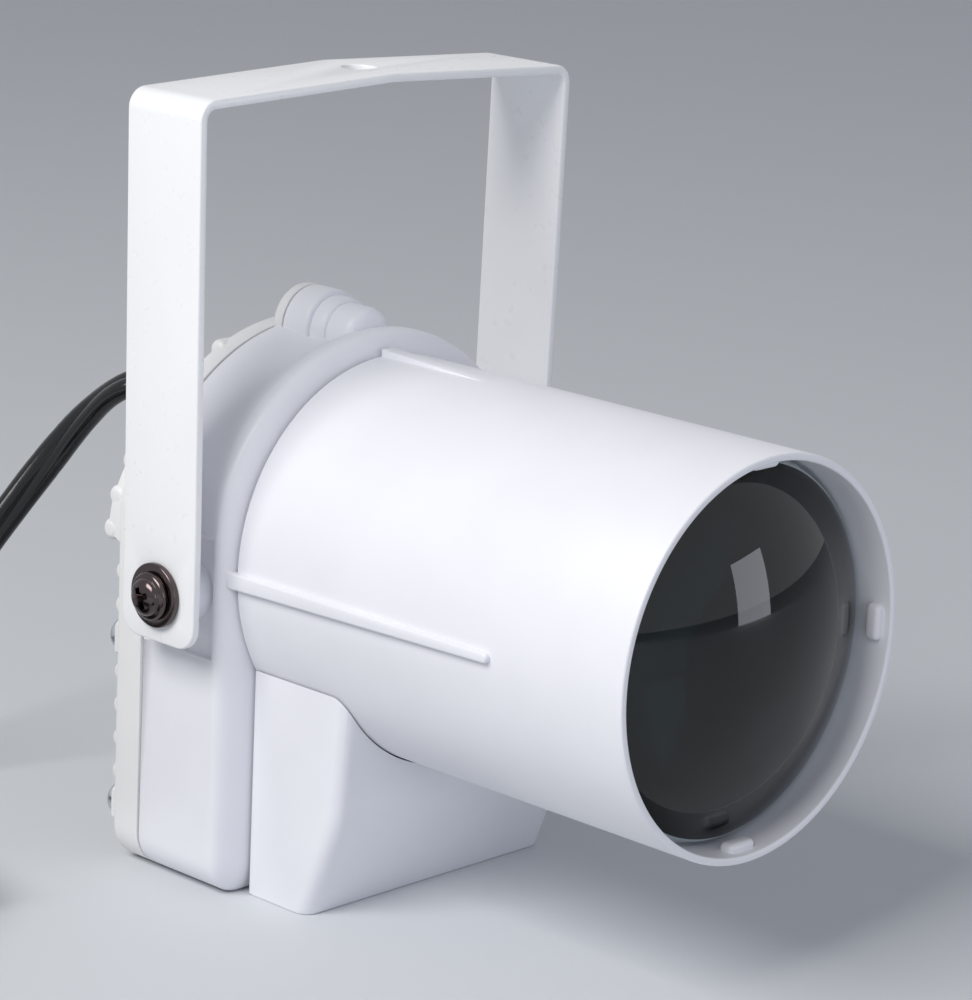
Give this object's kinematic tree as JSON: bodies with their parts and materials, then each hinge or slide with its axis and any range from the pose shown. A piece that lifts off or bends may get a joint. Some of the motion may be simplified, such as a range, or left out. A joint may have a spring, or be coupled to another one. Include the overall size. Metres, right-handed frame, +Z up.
{
  "type": "pinspot light",
  "caption": "Small pinspot lamp: arched plastic housing with a long round lens barrel, hung in a tilting steel yoke, on a mains cord with a plug.",
  "frame": {"origin": "On the flat base of the housing, straight below the yoke's tilt axis, on the lamp's middle plane", "axes": "+X to the right seen from the front, -Y the way the lens points, +Z up through the yoke"},
  "size_m": [0.1734, 0.1601, 0.1245],
  "materials": {
    "white_shell": "satin white moulded plastic",
    "lens_glass": "polished, dark and faintly teal against the lamp's dark inside",
    "zinc_steel": "bright zinc plate",
    "bare_aluminium": "plain extruded",
    "lamp_board": "white solder mask",
    "phosphor": "yellow phosphor under clear resin",
    "circuit_board": "green solder mask",
    "winding_tape": "yellow winding tape",
    "black_sleeve": "black sleeve",
    "brown_wire": "brown wire sleeve",
    "blue_wire": "blue wire sleeve",
    "red_wire": "red wire sleeve",
    "black_wire": "black wire sleeve",
    "yoke_paint": "glossy white powder coat on steel strip",
    "black_nickel": "black nickel plate",
    "brass": "turned",
    "cord_sheath": "glossy black PVC",
    "plug_black": "black moulded PVC",
    "plated_pin": "nickel plate"
  },
  "bodies": {
    "housing": {"barrel_casing": "white_shell", "lens": "lens_glass", "front_shell": "white_shell", "rear_cover": "white_shell", "cover_screw_1": "zinc_steel", "cover_screw_2": "zinc_steel", "cover_screw_3": "zinc_steel", "cover_screw_4": "zinc_steel", "cover_screw_5": "zinc_steel", "casing_screw_1": "zinc_steel", "casing_screw_2": "zinc_steel", "casing_screw_3": "zinc_steel", "casing_screw_4": "zinc_steel", "sink_screw_1": "zinc_steel", "sink_screw_2": "zinc_steel", "heat_sink": "bare_aluminium", "led_board": "lamp_board", "led_emitter": "phosphor", "driver_board": "circuit_board", "transformer": "winding_tape", "input_capacitor": "black_sleeve", "output_capacitor": "black_sleeve", "driver_chip": "black_sleeve", "live_wire": "brown_wire", "neutral_wire": "blue_wire", "positive_wire": "red_wire", "negative_wire": "black_wire", "pivot_screw_left": "black_nickel", "pivot_screw_right": "black_nickel", "pivot_nut_left": "brass", "pivot_nut_right": "brass", "strain_relief": "cord_sheath", "cord_free": "cord_sheath", "cord_coil": "cord_sheath", "cord_tie": "black_sleeve", "plug_body": "plug_black", "plug_pin_1": "plated_pin", "plug_pin_2": "plated_pin"},
    "yoke": {"yoke": "yoke_paint", "washer_left": "black_nickel", "washer_right": "black_nickel"}
  },
  "joints": [
    {"name": "yoke_tilt", "type": "hinge", "parent": "housing", "child": "yoke", "pos_m": [0, 0, 0.0479], "axis": [1, 0, 0], "range_deg": [-90, 55]}
  ]
}
